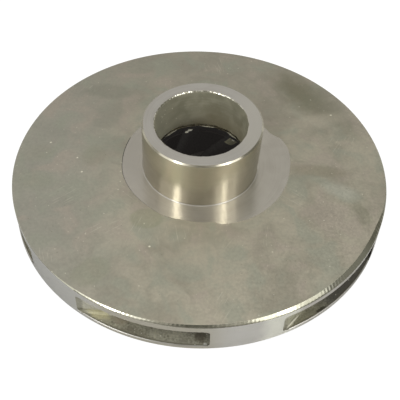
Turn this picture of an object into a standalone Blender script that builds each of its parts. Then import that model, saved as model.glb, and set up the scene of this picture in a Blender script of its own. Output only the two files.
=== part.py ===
"""Closed impeller of an end-suction centrifugal pump.

Metres, +Z up. The origin is on the shaft's axis, in the hub's back face, on which the impeller stands.
The suction eye points up. Seen from the eye, the vanes run outwards clockwise.
The real impeller is one casting. Its features are solids of their own here, and meet with a hairline joint.
"""

import math

import bmesh
import bpy

# Driving dimensions
RIM_RADIUS = 0.12065           # a 9.5 in impeller
BACK_SHROUD_RIM = 0.0031       # thickness of the back shroud at the rim
PASSAGE_WIDTH = 0.0145         # clear height between the shrouds at the rim
FRONT_SHROUD_RIM = 0.0056      # thickness of the front shroud at the rim
FRONT_SHROUD_RISE = 0.0048     # how much higher the turned land is than the rim's edge
EYE_RING_HEIGHT = 0.0355       # from the turned land to the ring's end
EYE_RING_RADIUS = 0.03705
EYE_BORE_RADIUS = 0.0287
LAND_RADIUS = 0.0545           # turned land round the ring's foot
HUB_STAND_OUT = 0.0060         # how far the hub stands out behind the back shroud
HUB_RADIUS = 0.0260
SHAFT_BORE_RADIUS = 0.0127
KEY_WIDTH = 0.00635
KEY_DEPTH = 0.0030             # beyond the bore's wall
NOSE_RADIUS = 0.0172           # hub nose inside the eye
NOSE_HEIGHT = 0.0205

# Heights above the hub's back face
BACK_FACE = HUB_STAND_OUT
FLOOR = BACK_FACE + BACK_SHROUD_RIM
ROOF = FLOOR + PASSAGE_WIDTH
RIM_EDGE = ROOF + FRONT_SHROUD_RIM
LAND = RIM_EDGE + FRONT_SHROUD_RISE
RING_END = LAND + EYE_RING_HEIGHT

# The flare by which the eye's bore turns into the passages' roof is a quarter of an ellipse
FLARE_TOP = LAND + 0.0035
FLARE_DEPTH = 0.0105
FLARE_WIDTH = 0.0122
FLARE_RADIUS = EYE_BORE_RADIUS + 0.0003 + FLARE_WIDTH
FLOOR_RUN = 0.0130             # how quickly the hub's slope runs out into the passages' floor

# Edges
RIM_CHAMFER = 0.0018
BACK_RIM_CHAMFER = 0.0004
RING_CHAMFER = 0.0009
BORE_CHAMFER = 0.0006
SHAFT_CHAMFER = 0.0010
RING_FILLET = 0.0010
HUB_FILLET = 0.0030

# Vanes
VANES = 6
VANE_ANGLE = math.radians(24.8)        # between the vane and the tangent
VANE_TIP_START = math.radians(-65.1)   # outer side of the first vane where it meets the rim
VANE_TIP_ARC = math.radians(20.8)      # the rim that one vane's tip takes up
VANE_THICKNESS_INNER = 0.0034
VANE_THICKNESS_OUTER = 0.0080
VANE_FLARE_START = 0.62                # share of the rim radius from which the tip thickens
LEADING_EDGE_AT_HUB = 0.0205           # radius of the vane's inlet edge at the nose
LEADING_EDGE_AT_LIP = 0.0290           # and where it meets the flare
VANE_BEND_RADIUS = 0.0340              # outside this radius the vane is upright
VANE_STEPS = 15                        # points along each side of a vane
INLET_STEPS = 3                        # and along its inlet end

JOINT = 0.0003                         # hairline between two features of the casting
HUB_JOINT_RADIUS = 0.0300              # where the hub hands over to the back shroud
SEGMENTS = 72                          # of each turned surface


def clear_scene():
    for old in list(bpy.data.objects):
        bpy.data.objects.remove(old, do_unlink=True)


def collection(name):
    made = bpy.data.collections.new(name)
    bpy.context.scene.collection.children.link(made)
    return made


def as_cutter(obj):
    obj.hide_render = True
    obj.display_type = "WIRE"
    return obj


def metal(name, colour, roughness):
    material = bpy.data.materials.new(name)
    material.use_nodes = True
    shader = material.node_tree.nodes["Principled BSDF"]
    shader.inputs["Base Color"].default_value = (*colour, 1.0)
    shader.inputs["Metallic"].default_value = 1.0
    shader.inputs["Roughness"].default_value = roughness
    return material


def arc(centre, radius, start, end, steps):
    """Points of an arc in the (radius, height) half plane, angles in degrees."""
    points = []
    for i in range(steps + 1):
        angle = math.radians(start + (end - start) * i / steps)
        points.append((centre[0] + radius * math.cos(angle), centre[1] + radius * math.sin(angle)))
    return points


def turned(name, profile, group):
    """A closed (radius, height) profile, run down its outer side, turned about Z."""
    mesh = bpy.data.meshes.new(name)
    count = len(profile)
    mesh.from_pydata(
        [(radius, 0.0, height) for radius, height in profile],
        [(i, (i + 1) % count) for i in range(count)],
        [],
    )
    obj = bpy.data.objects.new(name, mesh)
    group.objects.link(obj)
    screw = obj.modifiers.new("turn", "SCREW")
    screw.axis = "Z"
    screw.angle = math.tau
    screw.steps = screw.render_steps = SEGMENTS
    screw.use_merge_vertices = True
    screw.merge_threshold = 0.00001
    screw.use_smooth_shade = True
    return obj


def boolean(obj, tool, operation):
    cut = obj.modifiers.new(operation.lower(), "BOOLEAN")
    cut.operation = operation
    cut.object = tool
    cut.solver = "EXACT"


def flare(top, bottom, steps, clearance=0.0):
    """The eye's flare between two heights. A clearance keeps the points clear of the metal round it."""
    width, depth = FLARE_WIDTH + clearance, FLARE_DEPTH + clearance
    points = []
    for i in range(steps + 1):
        height = top + (bottom - top) * math.sin(math.pi / 2 * i / steps)
        drop = min(1.0, (FLARE_TOP - height) / depth)
        points.append((FLARE_RADIUS - width * math.sqrt(1.0 - drop * drop), height))
    return points


def floor_height(radius):
    return FLOOR + (NOSE_HEIGHT - FLOOR) * math.exp((NOSE_RADIUS - radius) / FLOOR_RUN)


def floor(radii, clearance=0.0):
    return [(radius, floor_height(radius) + clearance) for radius in radii]


def eye_ring(group):
    """The suction neck, whose outside runs in the pump's wear ring."""
    foot = (EYE_RING_RADIUS + RING_FILLET, LAND + JOINT + RING_FILLET)
    profile = [
        (EYE_BORE_RADIUS + BORE_CHAMFER, RING_END),
        (EYE_RING_RADIUS - RING_CHAMFER, RING_END),
        (EYE_RING_RADIUS, RING_END - RING_CHAMFER),
    ]
    profile += arc(foot, RING_FILLET, 180, 255, 3)
    profile.append((profile[-1][0], LAND + JOINT))
    profile += reversed(flare(FLARE_TOP, LAND + JOINT, 2))
    profile += [(EYE_BORE_RADIUS, FLARE_TOP + RING_CHAMFER), (EYE_BORE_RADIUS, RING_END - BORE_CHAMFER)]
    ring = turned("eye_ring", profile, group)
    ring.data.materials.append(metal("turned_steel", (0.40, 0.39, 0.35), 0.22))
    return ring


def front_shroud(group):
    """The coned plate round the eye, with the turned land at its top and the chamfer at its rim."""
    roof_flare = flare(LAND, FLARE_TOP - FLARE_DEPTH, 4)
    profile = [
        roof_flare[0],
        (LAND_RADIUS, LAND),
        (RIM_RADIUS - RIM_CHAMFER, RIM_EDGE),
        (RIM_RADIUS, RIM_EDGE - RIM_CHAMFER),
        (RIM_RADIUS, ROOF),
    ]
    profile += reversed(roof_flare[1:])
    shroud = turned("front_shroud", profile, group)
    shroud.data.materials.append(metal("ground_steel", (0.33, 0.31, 0.25), 0.40))
    return shroud


def back_shroud(group):
    """The flat plate behind the vanes."""
    inner = HUB_JOINT_RADIUS + JOINT
    profile = floor([inner, 0.0400, 0.0550, 0.0800])
    profile += [
        (RIM_RADIUS, FLOOR),
        (RIM_RADIUS, BACK_FACE + BACK_RIM_CHAMFER),
        (RIM_RADIUS - BACK_RIM_CHAMFER, BACK_FACE),
        (inner, BACK_FACE),
    ]
    shroud = turned("back_shroud", profile, group)
    shroud.data.materials.append(metal("cast_steel", (0.24, 0.22, 0.18), 0.55))
    return shroud


def key_slot(group):
    """The keyway's cutter, along the whole shaft bore."""
    reach = SHAFT_BORE_RADIUS + KEY_DEPTH
    shape = bmesh.new()
    bmesh.ops.create_cube(shape, size=1.0)
    bmesh.ops.scale(shape, vec=(KEY_WIDTH, reach, 2 * NOSE_HEIGHT), verts=shape.verts)
    bmesh.ops.translate(shape, vec=(0.0, reach / 2, NOSE_HEIGHT / 2), verts=shape.verts)
    mesh = bpy.data.meshes.new("key_slot")
    shape.to_mesh(mesh)
    shape.free()
    obj = bpy.data.objects.new("key_slot", mesh)
    group.objects.link(obj)
    return as_cutter(obj)


def hub(group, cutters):
    """The boss on the shaft, from its nose inside the eye to its back face, bored and keyed."""
    fillet = (HUB_RADIUS + HUB_FILLET, BACK_FACE - HUB_FILLET)
    profile = [(SHAFT_BORE_RADIUS + SHAFT_CHAMFER, NOSE_HEIGHT)]
    profile += floor([NOSE_RADIUS, 0.0200, 0.0235, HUB_JOINT_RADIUS])
    profile.append((HUB_JOINT_RADIUS, BACK_FACE))
    profile += arc(fillet, HUB_FILLET, 90, 180, 3)
    profile += [
        (HUB_RADIUS, SHAFT_CHAMFER),
        (HUB_RADIUS - SHAFT_CHAMFER, 0.0),
        (SHAFT_BORE_RADIUS + SHAFT_CHAMFER, 0.0),
        (SHAFT_BORE_RADIUS, SHAFT_CHAMFER),
        (SHAFT_BORE_RADIUS, NOSE_HEIGHT - SHAFT_CHAMFER),
    ]
    boss = turned("hub", profile, group)
    boolean(boss, key_slot(cutters), "DIFFERENCE")
    boss.data.materials.append(metal("bored_steel", (0.30, 0.28, 0.24), 0.35))
    return boss


def spiral_angle(radius):
    """Direction of the first vane's outer side at this radius."""
    return VANE_TIP_START + math.log(RIM_RADIUS / radius) / math.tan(VANE_ANGLE)


def vane_sweep(radius):
    """The angle about the shaft that a vane's thickness takes up at this radius."""
    along = (radius - LEADING_EDGE_AT_HUB) / (RIM_RADIUS - LEADING_EDGE_AT_HUB)
    thickness = VANE_THICKNESS_INNER + (VANE_THICKNESS_OUTER - VANE_THICKNESS_INNER) * along
    body = thickness / (radius * math.sin(VANE_ANGLE))
    at_rim = VANE_THICKNESS_OUTER / (RIM_RADIUS * math.sin(VANE_ANGLE))
    share = radius / RIM_RADIUS
    widening = max(0.0, (share - VANE_FLARE_START) / (1.0 - VANE_FLARE_START)) ** 2
    return body + (VANE_TIP_ARC - at_rim) * widening


def vane_outline(inlet_radius):
    """Plan outline in polar form: in along the outer side, round the inlet edge, and out along the inner side."""
    outside = RIM_RADIUS * 1.05
    reach = VANE_BEND_RADIUS / RIM_RADIUS
    radii = [outside]
    radii += [RIM_RADIUS * reach ** (i / VANE_STEPS) for i in range(VANE_STEPS + 1)]
    inlet_run = inlet_radius - VANE_BEND_RADIUS
    radii += [VANE_BEND_RADIUS + inlet_run * i / INLET_STEPS for i in range(1, INLET_STEPS + 1)]
    outline = [(radius, spiral_angle(radius)) for radius in radii]
    start, sweep = spiral_angle(inlet_radius), vane_sweep(inlet_radius)
    for share in (0.25, 0.5, 0.75):
        bulge = 0.3 * VANE_THICKNESS_INNER * math.sin(math.pi * share)
        outline.append((inlet_radius - bulge, start - sweep * share))
    outline += [(radius, spiral_angle(radius) - vane_sweep(radius)) for radius in reversed(radii)]
    return outline


def vane_mesh():
    """An upright vane whose inlet edge leans in towards the hub, lofted between outlines and higher than its space."""
    levels = (
        (FLOOR - 0.002, LEADING_EDGE_AT_HUB),
        (NOSE_HEIGHT, LEADING_EDGE_AT_HUB),
        (FLARE_TOP, LEADING_EDGE_AT_LIP),
        (FLARE_TOP + 0.002, LEADING_EDGE_AT_LIP),
    )
    shape = bmesh.new()
    rings = []
    for height, inlet_radius in levels:
        outline = vane_outline(inlet_radius)
        rings.append([shape.verts.new((r * math.cos(a), r * math.sin(a), height)) for r, a in outline])
    count = len(rings[0])
    for lower, upper in zip(rings, rings[1:]):
        for i in range(count):
            j = (i + 1) % count
            shape.faces.new((lower[i], lower[j], upper[j], upper[i]))
    shape.faces.new(reversed(rings[0]))
    shape.faces.new(rings[-1])
    bmesh.ops.recalc_face_normals(shape, faces=shape.faces)
    mesh = bpy.data.meshes.new("vane")
    shape.to_mesh(mesh)
    shape.free()
    return mesh


def vane_space(group):
    """The room between the shrouds that the vanes fill, a hairline clear of them."""
    roof_flare = flare(FLARE_TOP - 0.0005, FLARE_TOP - FLARE_DEPTH - JOINT, 5, JOINT)
    inside = SHAFT_BORE_RADIUS
    profile = [(inside, roof_flare[0][1])]
    profile += roof_flare
    profile += [(RIM_RADIUS, ROOF - JOINT), (RIM_RADIUS, FLOOR + JOINT)]
    profile += floor([0.0800, 0.0550, 0.0400, HUB_JOINT_RADIUS, 0.0235, 0.0200, NOSE_RADIUS], JOINT)
    profile.append((inside, NOSE_HEIGHT + JOINT))
    return as_cutter(turned("vane_space", profile, group))


def vanes(group, cutters):
    """Six alike, turned from one mesh and trimmed to the space between the shrouds."""
    mesh = vane_mesh()
    mesh.materials.append(metal("vane_steel", (0.26, 0.24, 0.20), 0.50))
    space = vane_space(cutters)
    for i in range(VANES):
        vane = bpy.data.objects.new(f"vane_{i + 1}", mesh)
        vane.rotation_euler.z = math.tau * i / VANES
        group.objects.link(vane)
        boolean(vane, space, "INTERSECT")


def build():
    clear_scene()
    parts = collection("pump_impeller")
    cutters = collection("cutters")
    eye_ring(parts)
    front_shroud(parts)
    vanes(parts, cutters)
    back_shroud(parts)
    hub(parts, cutters)


build()
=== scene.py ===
import math

import bmesh
import bpy
import numpy as np
from mathutils import Matrix, Vector, noise


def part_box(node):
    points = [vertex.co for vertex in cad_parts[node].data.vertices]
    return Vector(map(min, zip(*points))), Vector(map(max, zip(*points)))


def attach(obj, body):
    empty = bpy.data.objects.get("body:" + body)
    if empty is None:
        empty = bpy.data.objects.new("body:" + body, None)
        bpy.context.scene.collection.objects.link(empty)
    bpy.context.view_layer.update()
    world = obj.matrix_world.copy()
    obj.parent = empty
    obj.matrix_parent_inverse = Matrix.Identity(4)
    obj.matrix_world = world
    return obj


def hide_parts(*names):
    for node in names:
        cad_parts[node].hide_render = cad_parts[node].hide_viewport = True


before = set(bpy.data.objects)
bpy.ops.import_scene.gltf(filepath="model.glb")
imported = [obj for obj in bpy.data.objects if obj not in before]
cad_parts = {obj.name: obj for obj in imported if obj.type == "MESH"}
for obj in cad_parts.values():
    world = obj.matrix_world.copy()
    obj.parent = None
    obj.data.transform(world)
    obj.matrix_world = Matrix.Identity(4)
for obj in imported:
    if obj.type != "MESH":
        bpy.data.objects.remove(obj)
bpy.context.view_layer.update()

# Lengths are metres. Angles run anticlockwise from +X, seen from the suction eye.
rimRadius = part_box("back_shroud")[1].x
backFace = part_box("back_shroud")[0].z
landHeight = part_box("front_shroud")[1].z
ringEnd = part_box("eye_ring")[1].z
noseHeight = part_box("hub")[1].z

casting = {
    "backRim": 0.0031,       # back shroud's thickness at the rim
    "passage": 0.0145,       # clear height between the shrouds at the rim
    "frontRim": 0.0056,      # front shroud's thickness at the rim
    "noseRadius": 0.0172,
    "floorRun": 0.0130,      # how quickly the hub's slope runs out into the floor
    "flareDepth": 0.0105,    # the quarter ellipse from the bore into the roof
    "flareWidth": 0.0122,
    "flareStart": 0.0035,    # its top, above the land
    "boreRadius": 0.0287,
    "ringRadius": 0.03705,
    "hubJoint": 0.0300,
    "segments": 540,         # of the big turned pieces
}
floorLevel = backFace + casting["backRim"]
roofLevel = floorLevel + casting["passage"]
rimEdge = roofLevel + casting["frontRim"]
flareTop = landHeight + casting["flareStart"]
flareCentre = casting["boreRadius"] + 0.0003 + casting["flareWidth"]
roofInner = flareTop - casting["flareDepth"]

vane = {
    "count": 6,
    "angle": math.radians(24.8),         # to the tangent
    "tipStart": math.radians(-65.1),     # outer side of the first vane, at the rim
    "tipArc": math.radians(20.8),
    "inner": 0.0034, "outer": 0.0080,    # thickness
    "flareStart": 0.62,                  # share of the rim's radius from which the tip widens
    "edgeAtHub": 0.0205, "edgeAtLip": 0.0290,
    "root": 0.0016,                      # cast fillet to the shrouds
    "along": 90, "nose": 8, "tip": 14,
    "waves": ((0.0060, 4.0), (0.0025, 8.0), 0.6), "waveHeight": 0.00016,
    "tipBreak": 0.00003,
    "shaved": (0, 2, 3),                 # noses that the boring bar touched, by number
}


def floorAt(radius):
    rise = noseHeight - floorLevel
    return floorLevel + rise * np.exp((casting["noseRadius"] - radius) / casting["floorRun"])


def roofAt(radius):
    cone = roofLevel + (roofInner - roofLevel) * (rimRadius - radius) / (rimRadius - flareCentre)
    reach = np.clip((flareCentre - radius) / casting["flareWidth"], 0.0, 1.0)
    flare = flareTop - casting["flareDepth"] * np.sqrt(1.0 - reach ** 2)
    return np.where(radius > flareCentre, cone, flare)


def flareRadius(height):
    drop = (flareTop - height) / casting["flareDepth"]
    return flareCentre - casting["flareWidth"] * math.sqrt(1.0 - drop ** 2)


sharpFrom = math.radians(28.0)    # edges that turn more than this aren't shaded smooth


# Mesh helpers
def smooth(low, high, value):
    share = np.clip((value - low) / (high - low), 0.0, 1.0)
    return share * share * (3.0 - 2.0 * share)


def awayFrom(angles, centre):
    return np.abs(np.angle(np.exp(1j * (angles - math.radians(centre)))))


def hump(angles, centre, reach):
    # 1 at the centre, 0 from reach degrees away
    return 1.0 - smooth(0.0, math.radians(reach), awayFrom(angles, centre))


def wander(points, size, seed):
    # smooth noise from -1 to 1 at each point, with humps about size across
    flat = points.reshape(-1, 3) / size + np.array([seed, -1.7 * seed, 0.6 * seed])
    return np.array([noise.noise(Vector(p)) for p in flat]).reshape(points.shape[:-1])


def waves(points, broad, fine, share):
    # broad and fine are a size and a seed each
    return wander(points, *broad) + share * wander(points, *fine)


def arcPoints(centre, radius, start, end, steps):
    angles = np.radians(np.linspace(start, end, steps + 1))
    return [(centre[0] + radius * math.cos(a), centre[1] + radius * math.sin(a)) for a in angles]


def line(start, end, steps):
    # points from start to end, without the first
    return [(start[0] + (end[0] - start[0]) * i / steps, start[1] + (end[1] - start[1]) * i / steps)
            for i in range(1, steps + 1)]


def addObject(name, data):
    obj = bpy.data.objects.new(name, data)
    bpy.context.scene.collection.objects.link(obj)
    return obj


def makeObject(name, points, faces, materials, faceMaterial):
    mesh = bpy.data.meshes.new(name)
    mesh.from_pydata([tuple(p) for p in points], [], faces)
    for material in materials:
        mesh.materials.append(material)
    mesh.polygons.foreach_set("material_index", np.asarray(faceMaterial, np.int32))
    shape = bmesh.new()
    shape.from_mesh(mesh)
    bmesh.ops.recalc_face_normals(shape, faces=shape.faces)
    shape.to_mesh(mesh)
    shape.free()
    mesh.shade_smooth()
    mesh.set_sharp_from_angle(angle=sharpFrom)
    return addObject(name, mesh)


def turnedPiece(name, grid, materials, rowMaterial, mixedRow=None, mixed=None):
    # rows run round the profile and columns round the shaft, and both close; one row may mix two finishes
    rows, columns = grid.shape[:2]
    index = np.arange(rows * columns).reshape(rows, columns)
    nextRow, nextColumn = np.roll(index, -1, 0), np.roll(index, -1, 1)
    both = np.roll(nextRow, -1, 1)
    faces = np.stack([index, nextColumn, both, nextRow], -1).reshape(-1, 4)
    faceMaterial = np.repeat(np.array(rowMaterial)[:, None], columns, 1)
    if mixedRow is not None:
        faceMaterial[mixedRow] = mixed
    return makeObject(name, grid.reshape(-1, 3), faces.tolist(), materials, faceMaterial.ravel())


def columnAngles(count):
    return np.linspace(-math.pi, math.pi, count, endpoint=False)


def spin(profile, angles):
    profile = np.asarray(profile, float)
    return np.repeat(profile[:, :1], len(angles), 1), np.repeat(profile[:, 1:2], len(angles), 1)


def place(radius, height, angles, shiftX=0.0, shiftY=0.0):
    x = shiftX + radius * np.cos(angles)
    y = shiftY + radius * np.sin(angles)
    return np.stack([x, y, height + 0.0 * angles], -1)


def hangOn(piece, slotName, *nodes):
    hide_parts(*nodes)
    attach(piece, "root")
    return piece


# Node helpers
def feed(tree, socket, value):
    if isinstance(value, bpy.types.NodeSocket):
        tree.links.new(value, socket)
    elif socket.type == "RGBA":
        socket.default_value = (*value, 1.0)
    else:
        socket.default_value = value


def node(tree, kind, feeds, **settings):
    made = tree.nodes.new("ShaderNode" + kind)
    for name, value in settings.items():
        setattr(made, name, value)
    for socket, value in feeds.items():
        feed(tree, made.inputs[socket], value)
    return made


def maths(tree, operation, *values):
    return node(tree, "Math", dict(enumerate(values)), operation=operation).outputs[0]


def times(tree, product, *factors):
    for factor in factors:
        product = maths(tree, "MULTIPLY", product, factor)
    return product


def blend(tree, first, share, second):
    return maths(tree, "MULTIPLY_ADD", first, share, times(tree, second, 1.0 - share))


def vectorMaths(tree, operation, *values):
    return node(tree, "VectorMath", dict(enumerate(values)), operation=operation).outputs[0]


def fade(tree, value, start, end, low=0.0, high=1.0):
    feeds = {"Value": value, "From Min": start, "From Max": end, "To Min": low, "To Max": high}
    return node(tree, "MapRange", feeds, interpolation_type="SMOOTHSTEP").outputs["Result"]


def tint(tree, amount, first, second, way="MIX"):
    made = node(tree, "Mix", {0: amount, 6: first, 7: second}, data_type="RGBA", blend_type=way)
    return made.outputs[2]


def clouds(tree, where, scale, detail=2.0, distortion=0.0):
    feeds = {"Vector": where, "Scale": scale, "Detail": detail, "Distortion": distortion}
    return node(tree, "TexNoise", feeds).outputs[0]


def objectPoint(tree):
    return tree.nodes.new("ShaderNodeTexCoord").outputs["Object"]


def parts(tree, vector):
    return node(tree, "SeparateXYZ", {0: vector}).outputs


def length2(tree, x, y):
    return maths(tree, "SQRT", maths(tree, "ADD", times(tree, x, x), times(tree, y, y)))


def newGroup(name, inputs, outputs):
    tree = bpy.data.node_groups.new(name, "ShaderNodeTree")
    for socketName, value in inputs.items():
        socket = tree.interface.new_socket(name=socketName, in_out="INPUT", socket_type="NodeSocketFloat")
        socket.default_value = value
    for socketName in outputs:
        tree.interface.new_socket(name=socketName, in_out="OUTPUT", socket_type="NodeSocketFloat")
    return tree, tree.nodes.new("NodeGroupInput").outputs, tree.nodes.new("NodeGroupOutput").inputs


def useGroup(tree, group, **values):
    made = tree.nodes.new("ShaderNodeGroup")
    made.node_tree = group
    for socket, value in values.items():
        feed(tree, made.inputs[socket], value)
    return made.outputs


# Effects that several finishes share
def toolLinesGroup():
    # the fine rings that a turning tool leaves, across a flat face or along a cylinder
    tree, given, out = newGroup("toolLines", {"pitch": 0.0005, "upright": 0.0}, ["tone"])
    x, y, z = parts(tree, objectPoint(tree))
    radius = length2(tree, x, y)
    along = maths(tree, "MULTIPLY_ADD", maths(tree, "SUBTRACT", z, radius), given["upright"], radius)
    ring = maths(tree, "DIVIDE", along, given["pitch"])
    around = 18.0    # humps a metre round the ring, which let a line fade in and out
    feeds = {0: ring, 1: times(tree, x, around), 2: times(tree, y, around)}
    where = node(tree, "CombineXYZ", feeds).outputs[0]
    feed(tree, out["tone"], clouds(tree, where, 1.0, 3.0))
    return tree


def handGrindingGroup():
    # clouds with a slow drift of hue, fine grain, and short parallel strokes in every direction
    tree, given, out = newGroup("handGrinding", {"patch": 0.026, "marked": 0.2},
                                ["tone", "tint", "strokes", "grain", "wobble"])
    point = objectPoint(tree)
    frequency = maths(tree, "DIVIDE", 1.0, given["patch"])
    broad = clouds(tree, point, times(tree, frequency, 0.8), 1.0)
    middle = clouds(tree, point, times(tree, frequency, 2.2), 1.5, 0.9)
    feed(tree, out["tone"], blend(tree, broad, 0.65, middle))
    beside = vectorMaths(tree, "ADD", point, (0.31, 0.17, 0.0))
    feed(tree, out["tint"], clouds(tree, beside, times(tree, frequency, 1.3), 2.0, 0.6))
    feed(tree, out["grain"], clouds(tree, point, 620.0, 4.0))
    feed(tree, out["wobble"], maths(tree, "SUBTRACT", clouds(tree, point, 140.0, 4.0), 0.5))
    cells = node(tree, "TexVoronoi", {"Vector": point, "Scale": frequency}, voronoi_dimensions="2D").outputs
    dice = node(tree, "SeparateColor", {0: cells["Color"]}).outputs
    feeds = {"Vector": point, "Angle": times(tree, dice[0], math.pi)}
    turned = node(tree, "VectorRotate", feeds, rotation_type="Z_AXIS").outputs[0]
    stretched = vectorMaths(tree, "MULTIPLY", turned, (80.0, 1100.0, 1.0))
    lines = fade(tree, clouds(tree, stretched, 1.0, 1.0), 0.60, 0.72)
    edge = maths(tree, "SUBTRACT", 1.0, given["marked"])
    chosen = fade(tree, dice[1], edge, maths(tree, "ADD", edge, 0.02))
    inside = fade(tree, cells["Distance"], 0.60, 0.20)
    feed(tree, out["strokes"], times(tree, chosen, inside, lines))
    return tree


def flecksGroup(name, dimensions):
    # small scattered specks, some bigger than others; in 2D they lie on a face that looks up
    tree, given, out = newGroup(name, {"spacing": 0.006, "size": 0.0004, "share": 0.2}, ["mask"])
    frequency = maths(tree, "DIVIDE", 1.0, given["spacing"])
    feeds = {"Vector": objectPoint(tree), "Scale": frequency}
    cells = node(tree, "TexVoronoi", feeds, voronoi_dimensions=dimensions).outputs
    dice = node(tree, "SeparateColor", {0: cells["Color"]}).outputs
    reach = times(tree, given["size"], frequency, maths(tree, "MULTIPLY_ADD", dice[1], 0.9, 0.4))
    speck = fade(tree, cells["Distance"], reach, times(tree, reach, 0.5))
    chosen = maths(tree, "LESS_THAN", dice[0], given["share"])
    feed(tree, out["mask"], times(tree, speck, chosen))
    return tree


def softSpotGroup():
    # one oval place with a soft edge, which the wobble makes ragged
    inputs = {"x": 0.0, "y": 0.0, "length": 0.02, "width": 0.01, "turn": 0.0}
    inputs.update({"softness": 0.3, "ragged": 0.3, "wobble": 0.0})
    tree, given, out = newGroup("softSpot", inputs, ["mask"])
    centre = node(tree, "CombineXYZ", {0: given["x"], 1: given["y"], 2: 0.0}).outputs[0]
    offset = vectorMaths(tree, "SUBTRACT", objectPoint(tree), centre)
    feeds = {"Vector": offset, "Angle": times(tree, given["turn"], -1.0)}
    x, y = parts(tree, node(tree, "VectorRotate", feeds, rotation_type="Z_AXIS").outputs[0])[:2]
    across = maths(tree, "DIVIDE", x, times(tree, given["length"], 0.5))
    along = maths(tree, "DIVIDE", y, times(tree, given["width"], 0.5))
    roughened = times(tree, given["ragged"], 2.0, given["wobble"])
    away = maths(tree, "ADD", length2(tree, across, along), roughened)
    outer, inner = (maths(tree, way, 1.0, given["softness"]) for way in ("ADD", "SUBTRACT"))
    feed(tree, out["mask"], fade(tree, away, outer, inner))
    return tree


def castGrainGroup():
    # the sand's print: lumps and grains
    tree, given, out = newGroup("castGrain", {"grain": 0.0012}, ["height", "tone"])
    point = objectPoint(tree)
    frequency = maths(tree, "DIVIDE", 1.0, given["grain"])
    grains = clouds(tree, point, frequency, 4.0)
    lumps = clouds(tree, point, times(tree, frequency, 0.22), 2.0)
    feed(tree, out["height"], blend(tree, lumps, 0.6, grains))
    feed(tree, out["tone"], blend(tree, lumps, 0.4, grains))
    return tree


toolLines = toolLinesGroup()
handGrinding = handGrindingGroup()
flecks = flecksGroup("flecks", "3D")
faceFlecks = flecksGroup("faceFlecks", "2D")
softSpot = softSpotGroup()
castGrain = castGrainGroup()
print("shared effects are made")


# Finishes
def newFinish(name, stretch=0.0, metallic=1.0):
    material = bpy.data.materials.new(name)
    material.use_nodes = True
    tree = material.node_tree
    sockets = tree.nodes["Principled BSDF"].inputs
    sockets["Metallic"].default_value = metallic
    if stretch > 0.0:
        sockets["Anisotropic"].default_value = stretch
        sockets["Anisotropic Rotation"].default_value = 0.25    # gleams stretch across the tool's lines
    return material, tree, sockets


def dress(tree, sockets, colour, roughness, height, depth):
    feed(tree, sockets["Base Color"], colour)
    feed(tree, sockets["Roughness"], roughness)
    feed(tree, sockets["Normal"], node(tree, "Bump", {"Height": height, "Distance": depth}).outputs[0])


def brighten(tree, colour, low, high, value):
    level = fade(tree, value, 0.25, 0.75, low, high)
    grey = node(tree, "CombineColor", {0: level, 1: level, 2: level}).outputs[0]
    return tint(tree, 1.0, colour, grey, "MULTIPLY")


def addPlaces(tree, colour, places, wobble, within=1.0):
    for *outline, turn, softness, ragged, strength, shade in places.values():
        x, y, length, width = (0.001 * size for size in outline)
        spot = useGroup(tree, softSpot, x=x, y=y, length=length, width=width, turn=math.radians(turn),
                        softness=softness, ragged=ragged, wobble=wobble)
        colour = tint(tree, times(tree, spot["mask"], strength, within), colour, shade)
    return colour


def sprinkle(tree, colour, group, scatter, shade, within=1.0):
    spacing, size, share, strength = scatter
    specks = useGroup(tree, group, spacing=spacing, size=size, share=share)
    return tint(tree, times(tree, within, strength, specks["mask"]), colour, shade)


# Flecks are given by their spacing, size, share and strength
groundLook = {
    "dark": (0.455, 0.424, 0.343), "light": (0.575, 0.535, 0.435),
    "green": (0.458, 0.468, 0.385), "pink": (0.555, 0.49, 0.42),
    "cool": (0.455, 0.448, 0.395), "far": (0.445, 0.417, 0.353),    # towards the left and the back
    "patch": 0.026, "marked": 0.25, "stroke": (0.73, 0.7, 0.59), "strokeShare": 0.4,
    # the light flecks and the glitter are painted glints
    "paintedGlintTint": (0.98, 0.95, 0.8), "fleckDark": (0.2, 0.18, 0.13),
    "paintedGlintSpecks": (0.0085, 0.00046, 0.22, 0.45), "darkFlecks": (0.0052, 0.00042, 0.14, 0.28),
    "glitter": (0.0034, 0.00034, 0.3, 0.35),
    "roughness": (0.5, 0.62), "depth": 0.00003,
}

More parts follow.
